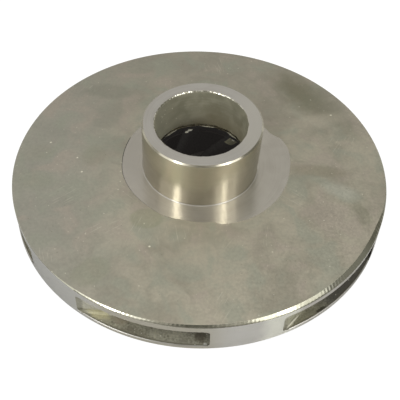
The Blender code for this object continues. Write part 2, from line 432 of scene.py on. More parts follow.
# Each place on a surface: x, y, length and width in mm, turn, softness, raggedness, strength, colour
facePlaces = {
    "oilSpot": (-31.5, -48, 20, 15, 0, 0.14, 0.15, 0.5, (0.4, 0.405, 0.29)),
    "darkSweepRight": (70, 74, 46, 24, -55, 0.8, 0.4, 0.75, (0.27, 0.255, 0.175)),
    "darkSweepRim": (90, 56, 56, 15, -58, 0.6, 0.4, 0.45, (0.33, 0.32, 0.245)),
    "darkSweepLeft": (-65, 70, 32, 16, -8, 0.4, 0.4, 0.5, (0.37, 0.365, 0.3)),
    "roundPatchTop": (-46, 99, 22, 17, 0, 0.15, 0.1, 0.4, (0.43, 0.425, 0.35)),
    "lowerLeftSpot": (-61, -86, 23, 17, 30, 0.25, 0.3, 0.4, (0.42, 0.42, 0.32)),
    "bandRight": (76, -3, 38, 9, 0, 0.45, 0.4, 0.45, (0.4, 0.36, 0.27)),
    "stainRight": (101, -33, 8, 24, 12, 0.6, 2.2, 0.4, (0.32, 0.31, 0.23)),
    "lightRight": (90, -19, 22, 12, -20, 0.6, 0.5, 0.5, (0.68, 0.67, 0.58)),
    "lightSweepRight": (80, 46, 42, 12, 20, 0.6, 0.4, 0.4, (0.69, 0.63, 0.52)),
    "darkLeft": (-106, 8, 20, 14, 10, 0.5, 0.4, 0.35, (0.42, 0.41, 0.33)),
    "darkByLand": (-69, 4, 16, 18, 0, 0.4, 0.4, 0.35, (0.42, 0.4, 0.31)),
    "greenLeft": (-105, -17, 28, 15, -10, 0.6, 0.4, 0.4, (0.43, 0.45, 0.35)),
    "shadeByNeck": (43, 52, 14, 30, 15, 0.7, 0.3, 0.4, (0.43, 0.385, 0.32)),
    # painted glints: small white specks
    "paintedGlintFarLeft": (-99.6, 17.2, 1.4, 1.1, 20, 0.4, 0.0, 0.85, (0.98, 0.95, 0.8)),
    "paintedGlintLeft": (-75.5, -10.1, 1.3, 1.2, 0, 0.4, 0.0, 0.85, (0.98, 0.95, 0.8)),
    "paintedGlintByLand": (-80, 2.5, 1.2, 0.9, 40, 0.4, 0.0, 0.8, (0.98, 0.95, 0.8)),
    "paintedGlintRight": (89.8, 52.9, 1.6, 1, 15, 0.4, 0.0, 0.85, (0.98, 0.95, 0.8)),
    "paintedGlintFront": (-28.3, -68.4, 1.4, 1.2, 0, 0.4, 0.0, 0.85, (0.98, 0.95, 0.8)),
}


def groundFaceFinish():
    material, tree, sockets = newFinish("groundFace")
    look = groundLook
    grinding = useGroup(tree, handGrinding, patch=look["patch"], marked=look["marked"])
    x, y = parts(tree, objectPoint(tree))[:2]
    colour = tint(tree, fade(tree, grinding["tone"], 0.37, 0.61), look["dark"], look["light"])
    colour = tint(tree, fade(tree, x, -0.02, -0.10, 0.0, 0.7), colour, look["cool"])
    colour = tint(tree, fade(tree, y, 0.03, 0.10, 0.0, 0.6), colour, look["far"])
    colour = tint(tree, fade(tree, grinding["tint"], 0.50, 0.68, 0.0, 0.60), colour, look["green"])
    colour = tint(tree, fade(tree, grinding["tint"], 0.50, 0.32, 0.0, 0.55), colour, look["pink"])
    colour = addPlaces(tree, colour, facePlaces, grinding["wobble"])
    colour = brighten(tree, colour, 0.93, 1.07, grinding["grain"])
    colour = tint(tree, times(tree, grinding["strokes"], look["strokeShare"]), colour, look["stroke"])
    colour = sprinkle(tree, colour, faceFlecks, look["darkFlecks"], look["fleckDark"])
    # dark flecks, then bright flecks and glitter as painted glints
    colour = sprinkle(tree, colour, faceFlecks, look["paintedGlintSpecks"], look["paintedGlintTint"])
    sown = fade(tree, grinding["tint"], 0.48, 0.38)
    colour = sprinkle(tree, colour, faceFlecks, look["glitter"], look["paintedGlintTint"], sown)
    roughness = fade(tree, grinding["grain"], 0.3, 0.7, *look["roughness"])
    height = maths(tree, "MULTIPLY_ADD", grinding["strokes"], -0.5, grinding["grain"])
    dress(tree, sockets, colour, roughness, height, look["depth"])
    return material


# Each turned finish: dark and light colour, roughness, how far gleams stretch, the tool lines' pitch,
# 1 where they run round a wall and 0 on a flat face, their depth, and metallic
turnedLooks = {
    "turnedNeck": ((0.525, 0.49, 0.395), (0.585, 0.547, 0.442), (0.2, 0.25), 0.88, 0.0009, 1, 2e-6, 1.0),
    "turnedLand": ((0.49, 0.458, 0.402), (0.555, 0.522, 0.462), (0.18, 0.22), 0.8, 0.0007, 0, 2e-6, 0.72),
    "turnedEnd": ((0.555, 0.528, 0.485), (0.61, 0.586, 0.545), (0.32, 0.4), 0.3, 0.0006, 0, 3e-6, 1.0),
    "turnedRim": ((0.59, 0.56, 0.505), (0.65, 0.625, 0.575), (0.28, 0.36), 0.4, 0.0008, 1, 4e-6, 1.0),
    "turnedBack": ((0.5, 0.465, 0.385), (0.62, 0.58, 0.5), (0.28, 0.4), 0.5, 0.0011, 0, 12e-6, 1.0),
}
nicks = {"scatter": (0.006, 0.0004, 0.1, 0.35), "shade": (0.88, 0.85, 0.75)}
rimPlaces = {
    # painted shade darkens the rim's band on the left, with a cooler tint
    "paintedShadeRimLeft": (-93, -75, 90, 70, -40, 0.4, 0.2, 0.8, (0.535, 0.53, 0.505)),
    "oliveMiddle": (-21, -118.5, 88, 20, -10, 0.35, 0.2, 0.85, (0.54, 0.507, 0.42)),
    # painted light brightens the rim's band in the middle
    "paintedLightRimMiddle": (35, -115.5, 46, 30, 17, 0.5, 0.2, 0.6, (0.69, 0.675, 0.65)),
    # painted highlight on the rim's band, front right, where it would reflect a lamp
    "paintedHighlightTip": (49.5, -109, 21, 30, 0, 0.45, 0.4, 0.85, (0.96, 0.95, 0.85)),
}
landPlaces = {
    # painted shade on the land's left
    "paintedShadeLandLeft": (-50, 4, 26, 64, 6, 0.6, 0.3, 0.75, (0.475, 0.447, 0.4)),
}
endPlaces = {
    # painted light on the end face's right side
    "paintedLightEndSide": (33, 2, 24, 56, 0, 0.6, 0.3, 0.8, (0.655, 0.625, 0.565)),
}


def turnedFinish(name, places=None):
    dark, light, roughness, stretch, pitch, upright, depth, metallic = turnedLooks[name]
    material, tree, sockets = newFinish(name, stretch, metallic)
    lines = useGroup(tree, toolLines, pitch=pitch, upright=upright)
    haze = clouds(tree, objectPoint(tree), 90.0, 3.0, 0.4)
    colour = tint(tree, fade(tree, blend(tree, lines["tone"], 0.45, haze), 0.34, 0.64), dark, light)
    if places:
        colour = addPlaces(tree, colour, places, maths(tree, "SUBTRACT", haze, 0.5))
    colour = sprinkle(tree, colour, flecks, nicks["scatter"], nicks["shade"])
    dress(tree, sockets, colour, fade(tree, haze, 0.3, 0.7, *roughness), lines["tone"], depth)
    return material


chamferLook = {
    "tickPitch": 0.0025, "tickDepth": 0.000012,
    "lean": 900.0,    # of the ticks, in radians a metre
    "dark": (0.44, 0.42, 0.335), "light": (0.58, 0.56, 0.46), "roughness": 0.14,
}
chamferPlaces = {
    "nick": (45.3, -111.2, 1.2, 1.2, 0, 0.4, 0.0, 0.8, (0.2, 0.19, 0.15)),
    # painted shade where the chamfer reflects too much lamp light
    "paintedShadeChamferLeft": (-79, -92, 32, 16, -41, 0.5, 0.4, 0.75, (0.33, 0.32, 0.26)),
    "paintedShadeChamferFront": (47, -112, 50, 16, 23, 0.4, 0.4, 0.6, (0.37, 0.355, 0.27)),
    "paintedShadeChamferRight": (70, -97.5, 30, 16, 36, 0.4, 0.4, 0.65, (0.27, 0.26, 0.2)),
    # painted light brightens the chamfer on the right
    "paintedLightChamferRight": (92.5, -76, 40, 16, 50, 0.5, 0.2, 0.85, (0.82, 0.8, 0.69)),
}


def chamferFinish():
    # the grinder left even chatter marks across the rim's chamfer
    look = chamferLook
    material, tree, sockets = newFinish("chatteredChamfer")
    point = objectPoint(tree)
    x, y = parts(tree, point)[:2]
    ticks = round(math.tau * rimRadius / look["tickPitch"])
    phase = times(tree, maths(tree, "ARCTAN2", y, x), float(ticks))
    phase = maths(tree, "MULTIPLY_ADD", length2(tree, x, y), look["lean"], phase)
    uneven = fade(tree, clouds(tree, point, 60.0), 0.35, 0.65, 0.4, 1.0)
    marks = times(tree, maths(tree, "SINE", phase), uneven)
    streaks = clouds(tree, point, 420.0, 3.0)
    colour = tint(tree, fade(tree, streaks, 0.3, 0.7), look["dark"], look["light"])
    colour = addPlaces(tree, colour, chamferPlaces, maths(tree, "SUBTRACT", streaks, 0.5))
    dress(tree, sockets, colour, look["roughness"], marks, look["tickDepth"])
    return material


edgeLook = {
    "dark": (0.33, 0.31, 0.24), "light": (0.82, 0.79, 0.69), "roughness": (0.34, 0.16), "depth": 0.00005,
}


def brokenEdgeFinish():
    # edges broken by hand with a file glitter unevenly
    look = edgeLook
    material, tree, sockets = newFinish("filedEdge")
    bite = clouds(tree, objectPoint(tree), 800.0, 3.0)
    colour = tint(tree, fade(tree, bite, 0.40, 0.60), look["dark"], look["light"])
    dress(tree, sockets, colour, fade(tree, bite, 0.35, 0.65, *look["roughness"]), bite, look["depth"])
    return material


boreLook = {
    "dark": (0.36, 0.345, 0.25), "light": (0.445, 0.422, 0.318), "thinFilm": (0.52, 0.5, 0.39),
    "paintedShadowLip": (0.15, 0.12, 0.08), "stained": (0.37, 0.325, 0.215),
    "paintedGlintWhite": (0.95, 0.93, 0.82), "paintedGlintScatter": (0.0024, 0.0005, 0.6, 1.0),
    "roughness": (0.42, 0.58), "metallic": 0.25, "pitch": 0.0013, "depth": 0.00001,
}


def boreFinish():
    # the neck's bore: a dull film on the turned wall, with small flecks of painted glint
    look = boreLook
    material, tree, sockets = newFinish("filmedBore", metallic=look["metallic"])
    lines = useGroup(tree, toolLines, pitch=look["pitch"], upright=1.0)
    haze = clouds(tree, objectPoint(tree), 120.0, 4.0, 0.5)
    mixed = blend(tree, lines["tone"], 0.35, haze)
    colour = tint(tree, fade(tree, mixed, 0.32, 0.66), look["dark"], look["light"])
    x, y, z = parts(tree, objectPoint(tree))
    # painted shadow: at the back the wall darkens towards the lip
    low = fade(tree, z, landHeight + 0.016, landHeight + 0.005)
    low = times(tree, low, fade(tree, y, 0.017, 0.027, 0.0, 0.5))
    colour = tint(tree, low, colour, look["paintedShadowLip"])
    # on the left the film is thin
    colour = tint(tree, fade(tree, x, -0.018, -0.028, 0.0, 0.5), colour, look["thinFilm"])
    # and a brown stain has dried on the right
    stain = fade(tree, maths(tree, "MULTIPLY_ADD", haze, 0.02, z), landHeight + 0.040, landHeight + 0.018)
    stain = times(tree, stain, fade(tree, x, -0.012, 0.010, 0.0, 0.65))
    colour = tint(tree, stain, colour, look["stained"])
    # painted glints, mostly on the left
    sown = fade(tree, x, -0.008, -0.022, 0.10, 0.75)
    colour = sprinkle(tree, colour, flecks, look["paintedGlintScatter"], look["paintedGlintWhite"], sown)
    colour = brighten(tree, colour, 0.95, 1.05, haze)
    roughness = fade(tree, haze, 0.3, 0.7, *look["roughness"])
    dress(tree, sockets, colour, roughness, lines["tone"], look["depth"])
    return material


castLook = {
    "open": (0.29, 0.276, 0.212), "openLight": (0.53, 0.512, 0.4),    # near the rim
    "lighterFrom": 0.088, "lighterAt": 0.112,                             # radii over which the deep passages' dark colour, partly painted shade, gives way to the lighter colour near the rim
    "floorReach": 0.0016,                                             # above the passages' floor
    "seam": (0.11, 0.105, 0.065), "seamShare": 0.6, "seamReach": (0.0018, 0.0008),
    "paintedGlintWhite": (0.98, 0.96, 0.86), "paintedGlintScatter": (0.0022, 0.00042, 0.32, 0.85),
    "pits": (0.0026, 0.0008, 0.45, 0.5),
    "haze": (1.0, 0.9, 0.83), "paintedGlowStrength": 0.0105,                 # a painted glow that lifts the darkest places
    "grain": 0.0013, "roughness": (0.68, 0.48), "depth": 0.0005,
}
# the scale farther in, dark and light; darker than scale alone, as painted shade in the deep passages, and
# near black on the vanes, where it is painted shade
scales = {
    "castSkin": ((0.05, 0.046, 0.043), (0.085, 0.079, 0.073)),
    "vaneSkin": ((0.008, 0.008, 0.008), (0.018, 0.017, 0.017)),
    # painted light on the vanes' noses
    "paintedLightNose": ((0.1, 0.096, 0.062), (0.185, 0.175, 0.115)),
    # shaved noses, brightened to a painted glint
    "shavedNoseGlint": ((0.48, 0.465, 0.37), (0.76, 0.745, 0.65)),
    "caughtEdge": ((0.26, 0.25, 0.195), (0.43, 0.415, 0.335)),
}
wallPlaces = {
    # painted light on the vane's side that faces the right lamps
    "paintedLightWall": (-59, -99, 24, 12, -28, 0.35, 1.0, 0.6, (0.68, 0.66, 0.56)),
    "darkSeam": (-67.6, -98.4, 4, 7, 0, 0.4, 1.0, 0.7, (0.26, 0.25, 0.2)),
    "rubbedOlive": (59, -99, 18, 8, 53, 0.4, 0.8, 0.65, (0.57, 0.56, 0.41)),
}
floorPlaces = {
    # a yellow patch, brightened with painted light
    "yellowPatchAndLight": (-56.5, -101, 15, 5.5, -26, 0.4, 1.6, 0.75, (0.68, 0.64, 0.42)),
    "brownRust": (-43.6, -105, 9, 6, -20, 0.5, 0.8, 0.55, (0.42, 0.35, 0.26)),
    "darkEnd": (3.5, -113.5, 7, 9, 0, 0.4, 0.8, 0.75, (0.13, 0.11, 0.07)),
    "shadedRight": (96, -68, 60, 32, 55, 0.35, 0.4, 0.92, (0.11, 0.105, 0.09)),
    "darkByWall": (67, -99, 24, 10, 40, 0.4, 0.8, 0.7, (0.25, 0.24, 0.16)),
    "blackSpot": (74.5, -93.5, 7, 3, 35, 0.4, 1.4, 0.9, (0.03, 0.03, 0.015)),
    "shadedLeft": (-35, -114, 20, 8, -15, 0.4, 0.8, 0.55, (0.2, 0.18, 0.13)),
    # painted glints: one on a burr at a vane's edge, one a short streak
    "paintedGlintOnBurr": (6.2, -119.4, 2, 1.8, 0, 0.4, 0.3, 0.95, (0.99, 0.98, 0.92)),
    "paintedGlintStreak": (56.7, -103.1, 12, 0.8, 51, 0.4, 0.4, 0.75, (0.95, 0.93, 0.8)),
    "paleEnd": (109.8, -48.8, 3, 3, 0, 0.4, 0.6, 0.8, (0.9, 0.88, 0.78)),
}


def castFinish(name):
    material, tree, sockets = newFinish(name)
    look = castLook
    skin = useGroup(tree, castGrain, grain=look["grain"])
    tone = fade(tree, skin["tone"], 0.34, 0.66)
    x, y, z = parts(tree, objectPoint(tree))
    wobble = maths(tree, "SUBTRACT", skin["tone"], 0.5)
    radius = length2(tree, x, y)
    reach = maths(tree, "MULTIPLY_ADD", wobble, 0.02, radius)
    # 1 near the rim; farther in, the colour turns to dark scale and painted shade
    outside = fade(tree, reach, look["lighterFrom"], look["lighterAt"])
    openColour = tint(tree, tone, look["open"], look["openLight"])
    onFloor = fade(tree, z, floorLevel + 2 * look["floorReach"], floorLevel + look["floorReach"])
    openColour = addPlaces(tree, openColour, wallPlaces, wobble, maths(tree, "SUBTRACT", 1.0, onFloor))
    openColour = addPlaces(tree, openColour, floorPlaces, wobble, onFloor)
    # the colour darkens along the floor's edge
    reach = maths(tree, "MULTIPLY_ADD", wobble, 0.004, radius)
    atEdge = fade(tree, reach, *(rimRadius - inside for inside in look["seamReach"]))
    openColour = tint(tree, times(tree, onFloor, look["seamShare"], atEdge), openColour, look["seam"])
    colour = tint(tree, outside, tint(tree, tone, *scales[name]), openColour)
    colour = sprinkle(tree, colour, flecks, look["pits"], look["seam"], outside)
    # painted glints near the rim
    colour = sprinkle(tree, colour, flecks, look["paintedGlintScatter"], look["paintedGlintWhite"], outside)
    roughness = fade(tree, skin["tone"], 0.3, 0.7, *look["roughness"])
    dress(tree, sockets, colour, roughness, skin["height"], look["depth"])
    feed(tree, sockets["Metallic"], times(tree, outside, 0.5))
    sockets["Specular IOR Level"].default_value = 0.2
    # painted glow: a faint emission lifts the darkest places
    feed(tree, sockets["Emission Color"], look["haze"])
    sockets["Emission Strength"].default_value = look["paintedGlowStrength"]
    return material


# Suction neck
neck = {
    "fillet": 0.0009, "chamfer": 0.0009, "edgeRound": 0.00012,
    "boreChamfer": 0.0006,
    "chamferWander": 0.8,    # share of the bore chamfer's width by which it wanders
    "lip": 0.0055,           # where the bore's turned wall ends, above the land
    "lipWander": 0.0012,
    "sink": 0.0003,          # how far the foot is let into the land
    "ledge": 0.0006,         # crescents that the boring bar left in the cast edge
    "ledges": ((134, 13), (81, 11), (45, 12), (-80, 40), (-160, 25)),    # centre and reach, in degrees
    "spread": 0.00045, "shift": 0.00075,     # the end stands out a little, most on the right
}


def suctionNeck(materials):
    side, land, end, filed, wall, throat, caught = range(len(materials))
    r, b = casting["ringRadius"], casting["boreRadius"]
    bevel, lipLevel = neck["boreChamfer"], landHeight + neck["lip"]
    foot = (r + neck["fillet"], landHeight + neck["fillet"] - 0.00003)
    angles = columnAngles(casting["segments"])
    outside = [(foot[0] + 0.0001, landHeight - neck["sink"])]
    footSteps = 10
    outside += arcPoints(foot, neck["fillet"], 268, 180, footSteps)
    outside += line(outside[-1], (r, ringEnd - neck["chamfer"] - neck["edgeRound"]), 10)
    chamfer = [(r - 0.00002, ringEnd - neck["chamfer"] + 0.00002),
               (r - neck["chamfer"] + 0.00002, ringEnd - 0.00002)]
    endFace = [(r - neck["chamfer"] - neck["edgeRound"], ringEnd)]
    endFace += line(endFace[0], (b + bevel + 0.0001, ringEnd), 8)
    boreEdge = [(b + bevel * 0.9, ringEnd - 0.00005), (b + 0.00005, ringEnd - bevel)]
    bore = [(b, ringEnd - bevel - 0.0002)]
    bore += line(bore[0], (b, lipLevel), 16)
    lip = [(b, lipLevel - 0.00015), (b, lipLevel - 0.0007)]
    top = flareTop - 0.0002
    flareLevels = (top, top - 0.0012, top - 0.0024, landHeight - neck["sink"])
    flare = [(flareRadius(level), level) for level in flareLevels]
    groups = (outside, chamfer, endFace, boreEdge, bore, lip, flare)
    profile = [point for group in groups for point in group]
    radius, height = spin(profile, angles)
    starts = np.cumsum([0] + [len(group) for group in groups])
    circle = np.stack([np.cos(angles), np.sin(angles), 0 * angles], -1)
    # the chamfer inside the mouth was broken by hand, so its width wanders, and on the right it is narrow
    rough = 0.5 * wander(circle, 0.13, 3.1) + 0.35 * wander(circle, 0.04, 9.4) - 0.9 * hump(angles, 10, 60)
    rough = neck["chamferWander"] * np.maximum(rough, -1.1)
    edgeRows = slice(starts[3], starts[4])
    height[edgeRows] = ringEnd + (height[edgeRows] - ringEnd) * (1.0 + rough)
    radius[starts[3] - 1:starts[3] + 1] += bevel * rough
    for row in range(footSteps, starts[3] - 1):
        rise = float(np.clip((profile[row][1] - landHeight) / (ringEnd - landHeight), 0.0, 1.0))
        outward = 1.0 if row < starts[2] + 1 else float(smooth(b, r, profile[row][0]))
        radius[row] += rise * outward * (neck["spread"] + neck["shift"] * np.cos(angles))
    # below the turned bore the cast edge stands in by a little ledge, in crescents
    drift = neck["lipWander"] * (0.6 * wander(circle, 0.7, 5.5) + 0.3 * wander(circle, 0.12, 1.9))
    humps = sum(hump(angles, *one) for one in neck["ledges"])
    ledge = humps * (1.0 + 0.4 * wander(circle, 0.06, 4.4))
    radius[starts[5]:starts[6]] -= neck["ledge"] * np.clip(ledge, 0.01, 1.0)
    for row in range(starts[4], starts[7]):
        share = smooth(landHeight + 0.020, lipLevel, height[row])
        fadeOut = smooth(landHeight - 0.0005, landHeight + 0.0025, height[row])
        height[row] += drift * share * fadeOut
    landRows = footSteps - 1
    rowMaterial = [land] * landRows + [side] * (starts[1] + 2 - landRows)
    rowMaterial += [end] * (len(endFace) - 1) + [filed] * 2
    rowMaterial += [wall] * (len(bore) - 1) + [filed]
    rowMaterial += [throat] * (len(profile) - len(rowMaterial))
    lastWall = np.where(ledge > 0.12, caught, wall)
    grid = place(radius, height, angles)
    piece = turnedPiece("suctionNeck", grid, materials, rowMaterial, starts[5] - 1, lastWall)
    return hangOn(piece, "turned_steel", "eye_ring")


# Front shroud
shroud = {
    "landCentre": (0.038, 0.034), "landRadius": 0.4517,    # in rim radii: the lathe ran a little off centre
    "landStart": 0.0400,                                   # the land moves off centre from this radius
    "step": 0.00034,                                       # the little wall that it left on the left
    "stepCentre": 205.0, "stepReach": (36.0, 46.0),        # degrees; it runs out between the two reaches
    "waves": ((0.030, 2.0), (0.012, 7.0), 0.5),            # of the hand-ground face
    "waveHeight": 0.0001,
    "chamferDrop": 0.8,                                    # of the chamfer's width
    "edgeBreak": 0.0003,                                   # at the mouths
}
# grinding the face moved the land's edge: by so many mm at angles in degrees
landEdges = {
    -180: 0.1, -163: 1.4, -150: 1.5, -128: 1.2, -118: 1.6, -107: 0.2, -99: 0.0, -85: -0.7, -81: 1.5,
    -63: 2.1, -52: 1.8, -36: 1.0, -23: 0.0, -8: -0.6, 12: -0.4, 18: -1.1, 23: -2.0, 27: -4.5, 31: -5.8,
    40: -5.8, 90: -3.0, 148: -1.7, 158: -0.8, 170: -0.4, 180: 0.1,
}
# the rim's chamfer is hand ground: its width in mm at angles in degrees
chamferWidths = {
    -180: 0.15, -135: 0.15, -129: 0.55, -122: 1.0, -108: 1.1, -98: 1.35, -90: 1.6, -77: 1.75, -66: 2.1,
    -55: 2.3, -42: 2.9, -30: 3.1, -22: 2.8, -16: 1.5, -10: 0.6, 0: 0.45, 40: 0.45, 120: 0.4, 150: 0.2,
    180: 0.15,
}


def brokenEdge(angles, atMouths):
    # the passages' edges are broken, the vane tips hardly
    start, end = vane["tipArc"], math.tau / vane["count"]
    past = np.mod(vane["tipStart"] - angles, end)
    mouths = smooth(start, start + 0.02, past) * (1.0 - smooth(end - 0.02, end, past))
    return vane["tipBreak"] + atMouths * mouths


def frontShroud(materials):
    land, face, ground, band, cast = range(len(materials))
    angles = columnAngles(casting["segments"])
    landEdge = shroud["landRadius"] * rimRadius
    landEdge = landEdge + 0.001 * np.interp(np.degrees(angles), list(landEdges), list(landEdges.values()))
    shiftX, shiftY = (c * rimRadius for c in shroud["landCentre"])
    landShares = (0.0, 0.20, 0.40, 0.60, 0.80, 0.95, 1.0)
    landStart = shroud["landStart"]
    landRows = [flareRadius(landHeight), 0.0350, 0.0385, 0.0392]
    landRows += [landStart + (landEdge - landStart) * share for share in landShares]
    faceShares = [0.003, 0.008] + list(np.linspace(0.02, 1.0, 60))
    radius, height, shift, rowMaterial = [], [], [], []

    def addRow(r, z, moved, finish):
        radius.append(r + 0.0 * angles)
        height.append(z + 0.0 * angles)
        shift.append(moved)
        rowMaterial.append(finish)

    for r, share in zip(landRows, (0.0, 0.0, 0.0, 0.0) + landShares):
        addRow(r, landHeight, float(smooth(0.0, 1.0, share)), land)
    turn = np.degrees(awayFrom(angles, shroud["stepCentre"]))
    step = shroud["step"] * (1.0 - smooth(*shroud["stepReach"], turn))
    chamfer = 0.001 * np.interp(np.degrees(angles), list(chamferWidths), list(chamferWidths.values()))
    drop = shroud["chamferDrop"] * chamfer
    faceEnd = rimRadius - chamfer
    for share in faceShares:
        start = landEdge + 0.00012
        addRow(start + (faceEnd - start) * share,
               landHeight + step * (1.0 - share) + (rimEdge - landHeight) * share,
               float(1.0 - smooth(0.0, 1.0, share)), face)
    for share in (0.04, 0.5, 0.96):
        addRow(faceEnd + chamfer * share, rimEdge - drop * share, 0.0, ground)
    bandTop = rimEdge - drop - 0.00005
    edge = brokenEdge(angles, shroud["edgeBreak"])
    for share in np.linspace(0.0, 1.0, 8):
        addRow(rimRadius, bandTop + (roofLevel + edge - bandTop) * share, 0.0, band)
    addRow(rimRadius - edge, roofLevel, 0.0, cast)
    for share in np.linspace(0.0, 1.0, 34)[1:]:
        r = rimRadius + (flareCentre - rimRadius) * share
        addRow(r, roofAt(r), 0.0, cast)
    for turned in np.radians(np.linspace(90.0, 0.0, 14)[1:]):
        r = flareCentre - casting["flareWidth"] * math.cos(turned)
        z = flareTop - casting["flareDepth"] * math.sin(turned)
        if z > landHeight - 0.0002:
            break
        addRow(r, z, 0.0, cast)
    radius, height, shift = np.array(radius), np.array(height), np.array(shift)[:, None]
    grid = place(radius, height, angles, shift * shiftX, shift * shiftY)
    for row in range(len(landRows) + 2, len(landRows) + len(faceShares) - 1):
        share = faceShares[row - len(landRows)]
        calm = float(smooth(0.0, 0.08, share) * (1.0 - smooth(0.97, 1.0, share)))
        grid[row, :, 2] += calm * shroud["waveHeight"] * waves(grid[row], *shroud["waves"])
    stepWall = np.where(step > 0.2 * shroud["step"], cast, face)
    piece = turnedPiece("frontShroud", grid, materials, rowMaterial, len(landRows) - 1, stepWall)
    return hangOn(piece, "ground_steel", "front_shroud")


# Vanes
def spiralAngle(radius):
    return vane["tipStart"] + np.log(rimRadius / radius) / math.tan(vane["angle"])


def sweepAt(radius):
    along = (radius - vane["edgeAtHub"]) / (rimRadius - vane["edgeAtHub"])
    thickness = vane["inner"] + (vane["outer"] - vane["inner"]) * along
    atRim = vane["outer"] / (rimRadius * math.sin(vane["angle"]))
    past = (radius / rimRadius - vane["flareStart"]) / (1.0 - vane["flareStart"])
    widening = np.clip(past, 0.0, 1.0) ** 2
    return thickness / (radius * math.sin(vane["angle"])) + (vane["tipArc"] - atRim) * widening


def vaneGrid(number):
    # rows run up the vane; columns run in along its outer side, round its nose, out again and over its tip
    levels = np.concatenate([[-0.02], np.linspace(0.0, 0.12, 6), np.linspace(0.12, 0.88, 9)[1:-1],
                             np.linspace(0.88, 1.0, 6), [1.02]])
    rows = []
    for level in levels:
        inlet = vane["edgeAtHub"] + (vane["edgeAtLip"] - vane["edgeAtHub"]) * np.clip(level, 0.0, 1.0)
        out = rimRadius * (inlet / rimRadius) ** np.linspace(0.0, 1.0, vane["along"])
        depth = np.clip(min(level, 1.0 - level), 0.0, 1.0) * (roofAt(out) - floorAt(out))
        root = np.clip(vane["root"] - depth, 0.0, vane["root"])
        flare = vane["root"] - np.sqrt(vane["root"] ** 2 - root ** 2)
        flare = flare * smooth(0.030, 0.036, out)
        widen = flare / (out * math.sin(vane["angle"]))
        outerSide = spiralAngle(out) + widen
        innerSide = spiralAngle(out) - sweepAt(out) - widen
        noseShare = np.linspace(0.0, 1.0, vane["nose"] + 2)[1:-1]
        noseRadius = inlet - 0.42 * vane["inner"] * np.sin(math.pi * noseShare) ** 0.8
        noseAngle = outerSide[-1] + (innerSide[-1] - outerSide[-1]) * noseShare
        tipShare = np.linspace(0.0, 1.0, vane["tip"] + 2)[1:-1]
        radius = np.concatenate([out, noseRadius, out[::-1], np.full(vane["tip"], rimRadius)])
        angle = np.concatenate([outerSide, noseAngle, innerSide[::-1],
                                innerSide[0] + (outerSide[0] - innerSide[0]) * tipShare])
        low, high = floorAt(radius), roofAt(np.maximum(radius, vane["edgeAtLip"]))
        buried = smooth(rimRadius, rimRadius - 0.004, radius)
        height = low + (high - low) * np.clip(level, 0.0, 1.0)
        height += 0.0004 * buried * np.sign(level - 0.5) * (level < 0.0 or level > 1.0)
        rows.append(place(radius, height, angle + math.tau * number / vane["count"]))
    return np.array(rows)


def castVane(number, materials):
    skin, tip, film, shaved = range(len(materials))
    grid = vaneGrid(number)
    rows, columns = grid.shape[:2]
    half, nose = vane["along"], vane["nose"]
    # the skin is uneven, except where the tip was turned with the rim
    around = np.roll(grid, -1, 1) - np.roll(grid, 1, 1)
    normal = np.stack([around[..., 1], -around[..., 0], 0 * around[..., 2]], -1)
    normal /= np.maximum(1e-9, np.linalg.norm(normal, axis=-1, keepdims=True))
    reach = np.hypot(grid[..., 0], grid[..., 1])
    calm = smooth(rimRadius - 0.0001, rimRadius - 0.003, reach)
    grid += normal * (vane["waveHeight"] * waves(grid, *vane["waves"]) * calm)[..., None]
    index = np.arange(rows * columns).reshape(rows, columns)
    lower, upper = index[:-1], index[1:]
    faces = np.stack([lower, np.roll(lower, -1, 1), np.roll(upper, -1, 1), upper], -1)
    faces = faces.reshape(-1, 4).tolist()
    faceMaterial = np.full((rows - 1, columns), skin)
    faceMaterial[:, columns - vane["tip"] - 1:] = tip
    # the boring bar shaved the top of some noses, which are brightened to a painted glint; the others get
    # painted light on the nose, with a small glint
    if number in vane["shaved"]:
        for drop in range(4):
            start = half + 1 - drop // 2
            faceMaterial[rows - 3 - drop, start:start + 3 - drop // 2] = shaved
    else:
        faceMaterial[rows - 8:rows - 2, half + 2:half + nose] = film
        faceMaterial[rows - 3, half + nose // 2:half + nose // 2 + 2] = shaved
    faceMaterial = faceMaterial.ravel().tolist()
    # each end is closed by strips between the two sides
    for end in (index[0], index[-1]):
        outer, inner = end[:half], end[half + nose:2 * half + nose][::-1]
        for i in range(half - 1):
            faces.append([outer[i], outer[i + 1], inner[i + 1], inner[i]])
        faces.append([outer[-1], *end[half:half + nose], inner[-1]])
        faces.append([inner[0], *end[2 * half + nose:], outer[0]])
        faceMaterial += [skin] * (half + 1)
    piece = makeObject(f"vane{number + 1}", grid.reshape(-1, 3), faces, materials, faceMaterial)
    return hangOn(piece, "cast_steel", f"vane_{number + 1}")


# Back shroud
back = {
    "rimChamfer": 0.0004, "edgeBreak": 0.0004, "rows": 40,
    "waves": ((0.007, 3.0), (0.0025, 6.0), 0.5), "waveHeight": 0.00012,
}


